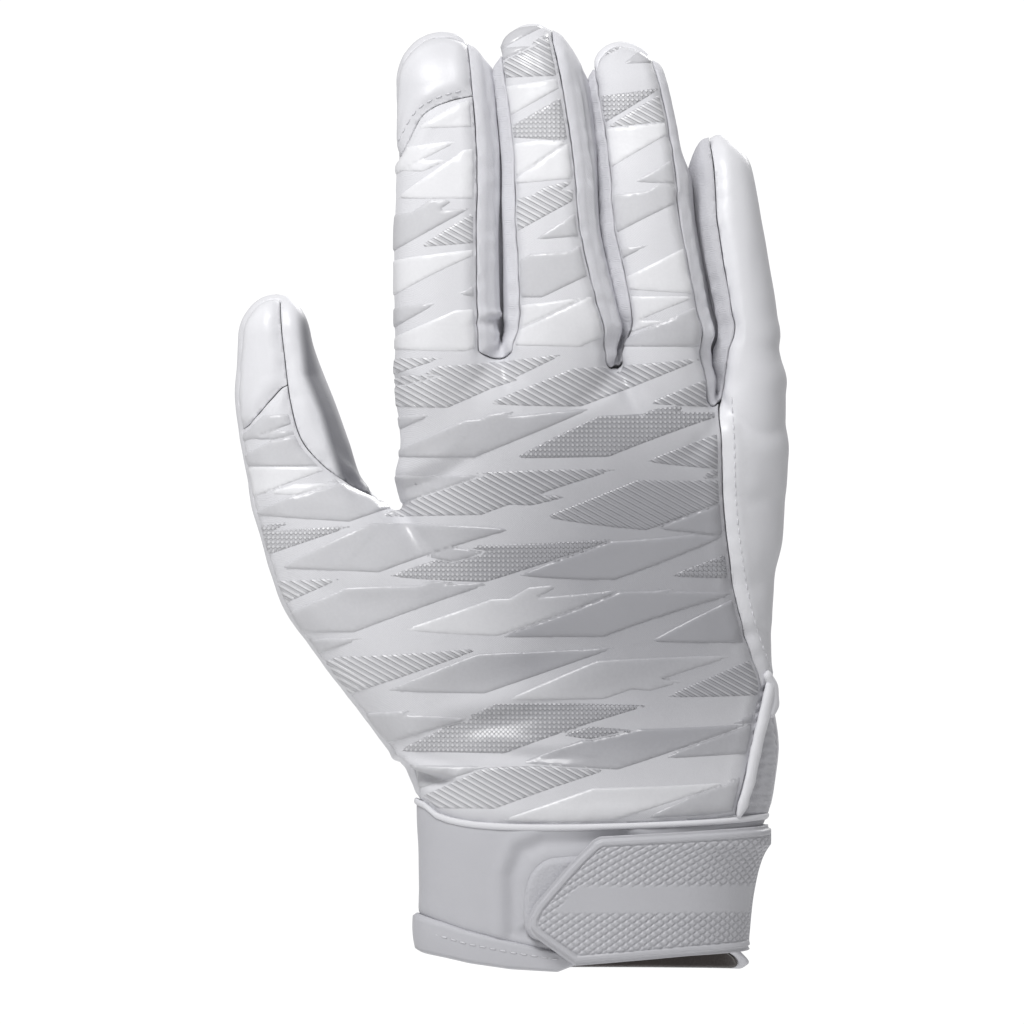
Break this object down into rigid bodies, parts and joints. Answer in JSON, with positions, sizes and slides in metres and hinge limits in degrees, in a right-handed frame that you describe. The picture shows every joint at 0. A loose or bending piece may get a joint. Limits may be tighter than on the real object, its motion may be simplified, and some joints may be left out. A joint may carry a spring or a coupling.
{
  "type": "football receiver glove",
  "caption": "Worn-form right-hand receiver glove: printed back, tacky palm, finger side strips, stretch cuff and wrap strap.",
  "frame": {"origin": "middle of the wrist opening, level with the cuff's lowest edge", "axes": "+Z from the cuff to the fingertips, +Y from the back of the hand to the palm, +X from thumb to little finger"},
  "size_m": [0.1382, 0.0439, 0.2355],
  "materials": {
    "printed_back": "stretch knit with raised satin print",
    "grip_palm": "smooth tacky coated microfibre",
    "stretch_side": "fine stretch knit",
    "gusset_knit": "ribbed elastic knit",
    "trim_tape": "folded stretch binding",
    "cuff_knit": "smooth faced neoprene",
    "dark_lining": "brushed dark lining",
    "loop_fabric": "brushed loop pile",
    "strap_webbing": "coated strap",
    "moulded_patch": "moulded soft rubber with a diamond knurl"
  },
  "bodies": {
    "root": {"back_panel": "printed_back", "palm_panel": "grip_palm", "index_tip": "grip_palm", "thumb_tip": "grip_palm", "fourchette_index_middle": "stretch_side", "fourchette_middle_ring": "stretch_side", "fourchette_ring_little": "stretch_side", "wrist_gusset": "gusset_knit", "slit_binding": "trim_tape", "cuff_band": "cuff_knit", "cuff_hem": "cuff_knit", "cuff_lining": "dark_lining", "wrist_seam_tape": "trim_tape", "loop_pad": "loop_fabric", "strap": "strap_webbing", "strap_patch": "moulded_patch"}
  },
  "joints": []
}
